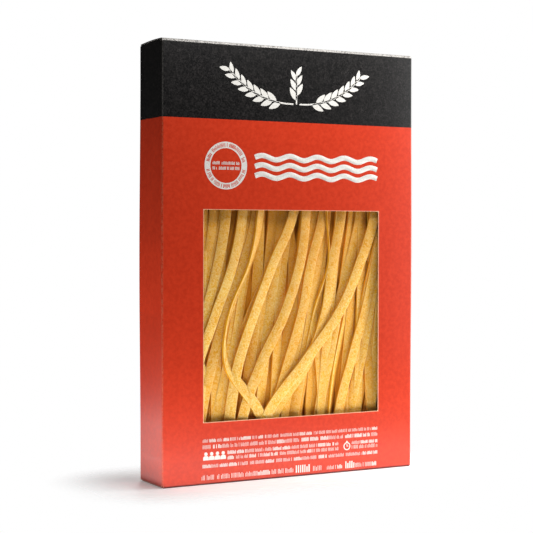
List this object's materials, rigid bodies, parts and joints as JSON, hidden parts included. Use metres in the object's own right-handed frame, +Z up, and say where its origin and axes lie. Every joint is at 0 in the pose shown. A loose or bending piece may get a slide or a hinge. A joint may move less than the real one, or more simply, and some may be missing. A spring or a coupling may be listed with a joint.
{
  "type": "windowed carton of dry ribbon pasta",
  "caption": "Tall flat folded-board carton, shut, with a square window and clear film in its front panel and a bundle of long dry pasta ribbons inside.",
  "frame": {"origin": "middle of the base, on the surface that the carton stands on", "axes": "+Z up along the carton's height, the windowed front panel faces -Y, +X to the right as seen from the front"},
  "size_m": [0.161, 0.03, 0.2406],
  "materials": {
    "carton_board": "matt printed board, red below and black on top",
    "window_film": "clear film",
    "pasta": "rough dry pasta"
  },
  "bodies": {
    "root": {"carton": "carton_board", "window_film": "window_film", "pasta": "pasta"}
  },
  "joints": []
}
